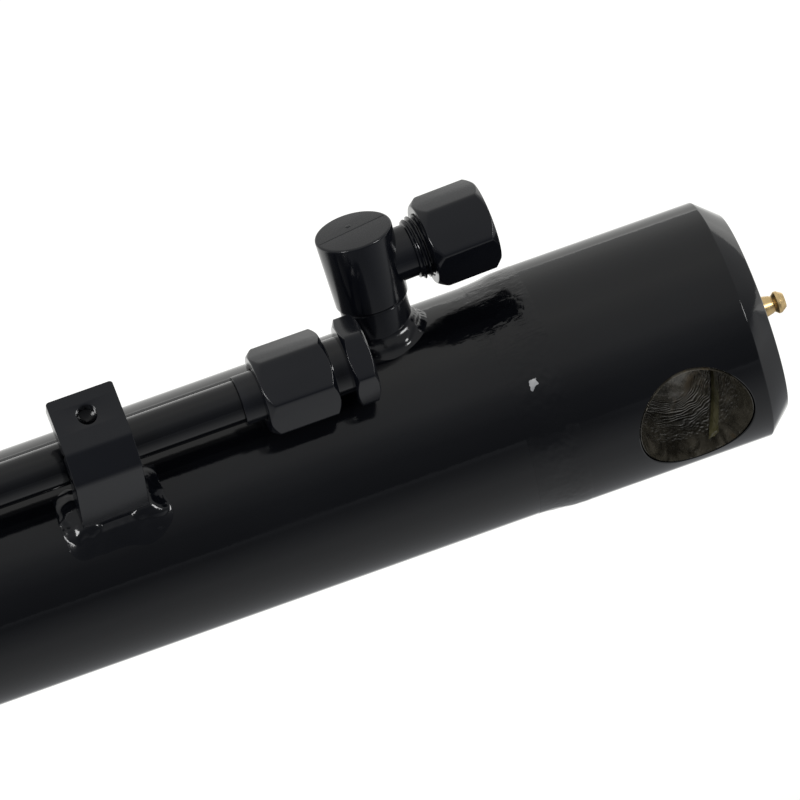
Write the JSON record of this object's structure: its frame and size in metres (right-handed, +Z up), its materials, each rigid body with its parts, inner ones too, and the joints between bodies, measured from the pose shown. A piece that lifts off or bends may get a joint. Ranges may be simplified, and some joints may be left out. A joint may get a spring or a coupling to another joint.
{
  "type": "hydraulic cylinder",
  "caption": "Welded double-acting hydraulic cylinder with cross-bored base and rod eye, elbow port posts, a clamped steel pipe along the barrel and grease nipples.",
  "frame": {"origin": "centre of the base pin bore, on the cylinder's axis", "axes": "+X along the cylinder from the base pin towards the rod eye, +Y along the base pin, +Z up"},
  "size_m": [0.6659, 0.0688, 0.0993],
  "materials": {
    "black_paint": "gloss black enamel, rough over the welds",
    "rod_chrome": "polished hard chrome",
    "bare_steel": "turned, lightly oiled",
    "greasy_steel": "bored steel under olive-brown grease",
    "brass": "yellow zinc over steel, golden and bright",
    "cast_iron": "machined",
    "seal_rubber": "matt",
    "seal_plastic": "smooth polyurethane",
    "bearing_plastic": "fibre-filled bearing tape"
  },
  "bodies": {
    "barrel": {"barrel_tube": "black_paint", "base_block": "black_paint", "base_weld": "black_paint", "base_bush": "greasy_steel", "base_nipple_body": "brass", "base_nipple_spring": "bare_steel", "cap_port_post": "black_paint", "cap_port_weld": "black_paint", "cap_port_nut": "black_paint", "cap_port_ring": "bare_steel", "pipe": "black_paint", "pipe_end_plug": "black_paint", "pipe_nut_base_end": "black_paint", "pipe_collar_base_end": "black_paint", "rod_port_post": "black_paint", "rod_port_weld": "black_paint", "pipe_nut_rod_end": "black_paint", "pipe_collar_rod_end": "black_paint", "clamp_bracket_1": "black_paint", "clamp_bracket_2": "black_paint", "bracket_weld_1": "black_paint", "bracket_weld_2": "black_paint", "gland": "black_paint", "gland_lock_screw": "bare_steel", "gland_guide_bush": "bearing_plastic", "buffer_seal": "seal_plastic", "rod_seal": "seal_plastic", "wiper": "seal_rubber", "gland_o_ring": "seal_rubber", "gland_backup_ring": "seal_plastic"},
    "base_nipple_valve": {"base_nipple_ball": "bare_steel"},
    "piston_rings": {"piston_seal": "seal_plastic", "piston_seal_energiser": "seal_rubber", "wear_ring_1": "bearing_plastic", "wear_ring_2": "bearing_plastic"},
    "rod": {"piston_rod": "rod_chrome", "piston": "cast_iron", "piston_o_ring": "seal_rubber", "piston_nut": "bare_steel", "piston_nut_screw": "bare_steel", "rod_eye": "black_paint", "rod_eye_weld": "black_paint", "rod_bush": "greasy_steel", "rod_nipple_body": "brass", "rod_nipple_spring": "bare_steel"},
    "rod_nipple_valve": {"rod_nipple_ball": "bare_steel"}
  },
  "joints": [
    {"name": "rod_slide", "type": "slide", "parent": "barrel", "child": "piston_rings", "axis": [1, 0, 0], "range_m": [0, 0.34]},
    {"name": "rod_turn", "type": "hinge", "parent": "piston_rings", "child": "rod", "pos_m": [0.1, 0, 0], "axis": [1, 0, 0], "continuous": true},
    {"name": "base_nipple_press", "type": "slide", "parent": "barrel", "child": "base_nipple_valve", "axis": [1, 0, 0], "range_m": [0, 0.0008], "stiffness_N_per_m": 300, "springref_m": -0.0005},
    {"name": "rod_nipple_press", "type": "slide", "parent": "rod", "child": "rod_nipple_valve", "axis": [-1, 0, 0], "range_m": [0, 0.0008], "stiffness_N_per_m": 300, "springref_m": -0.0005}
  ]
}
